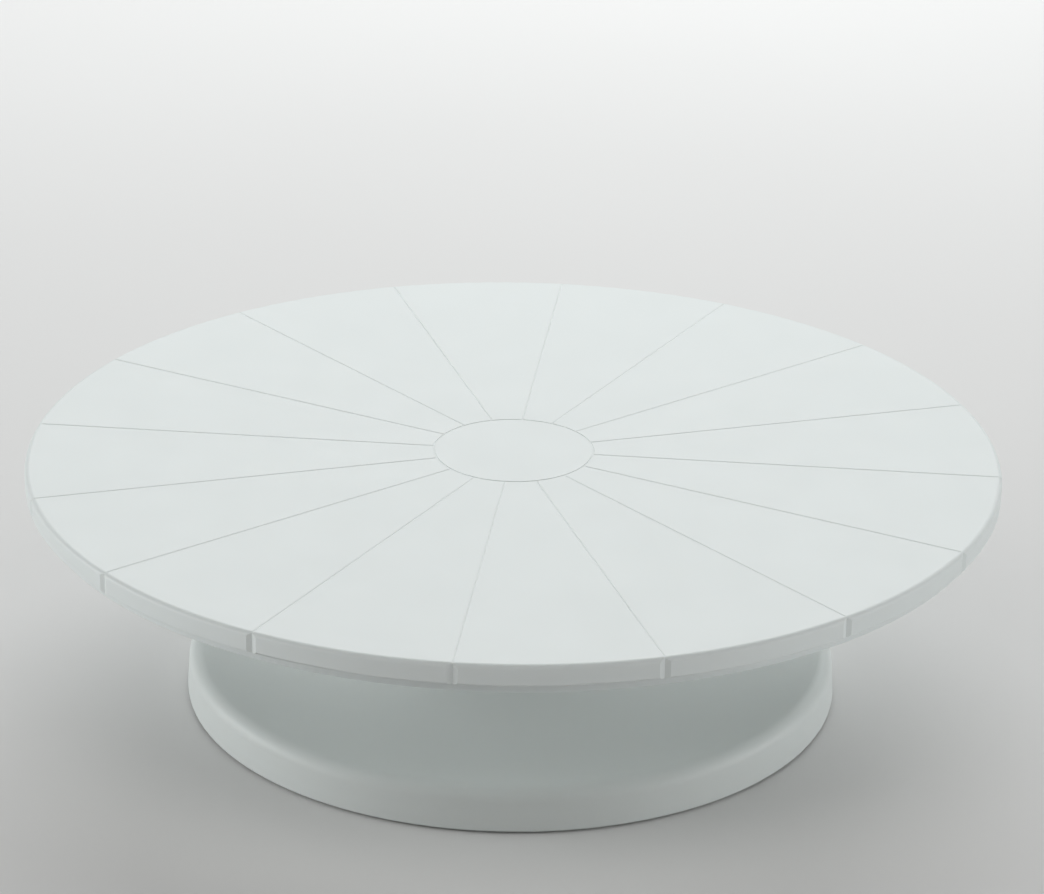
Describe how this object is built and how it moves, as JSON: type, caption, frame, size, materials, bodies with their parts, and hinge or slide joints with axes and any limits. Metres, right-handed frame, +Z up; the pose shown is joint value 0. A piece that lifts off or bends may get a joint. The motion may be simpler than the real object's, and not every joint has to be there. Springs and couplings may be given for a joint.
{
  "type": "cake turntable",
  "caption": "Round cake decorating turntable: a flat plate with radial guide marks and a stepped rim spins freely on a thrust bearing over a flared pedestal base with rubber feet.",
  "frame": {"origin": "on the surface it stands on, on the axis that the plate spins about", "axes": "+Z up along the spin axis, -Y is the front, +X to the right seen from the front"},
  "size_m": [0.3048, 0.3048, 0.08],
  "materials": {
    "plate_plastic": "satin moulded plastic, pale cool grey-white",
    "base_plastic": "satin moulded plastic, pale cool grey-white",
    "cap_plastic": "satin moulded plastic, pale grey",
    "nylon_washer": "natural nylon",
    "zinc_plated_steel": "bright zinc plate",
    "ground_steel": "ground steel",
    "bearing_steel": "hardened and polished",
    "spring_steel": "blackened spring steel",
    "bearing_balls_chrome": "polished balls",
    "cage_brass": "pressed brass",
    "bush_bronze": "oiled sintered bronze",
    "seal_rubber": "black nitrile rubber",
    "foot_rubber": "grey non-slip rubber"
  },
  "bodies": {
    "base": {"base_shell": "base_plastic", "upper_bush": "bush_bronze", "lower_bush": "bush_bronze", "lower_race": "bearing_steel", "dust_seal": "seal_rubber", "hub_cap": "cap_plastic", "rubber_foot_1": "foot_rubber", "rubber_foot_2": "foot_rubber", "rubber_foot_3": "foot_rubber", "rubber_foot_4": "foot_rubber", "rubber_foot_5": "foot_rubber", "rubber_foot_6": "foot_rubber"},
    "plate": {"turntable_plate": "plate_plastic", "hub_flange": "zinc_plated_steel", "flange_screws": "zinc_plated_steel", "spindle": "ground_steel", "upper_race": "bearing_steel", "thrust_washer": "nylon_washer", "retaining_clip": "spring_steel"},
    "ball_ring": {"bearing_balls": "bearing_balls_chrome", "ball_cage": "cage_brass"}
  },
  "joints": [
    {"name": "plate_spin", "type": "hinge", "parent": "base", "child": "plate", "pos_m": [0, 0, 0.0655], "axis": [0, 0, 1], "continuous": true},
    {"name": "ball_ring_spin", "type": "hinge", "parent": "base", "child": "ball_ring", "pos_m": [0, 0, 0.0655], "axis": [0, 0, 1], "continuous": true}
  ],
  "couplings": [
    {"joint": "ball_ring_spin", "follows": "plate_spin", "ratio": 0.5}
  ]
}
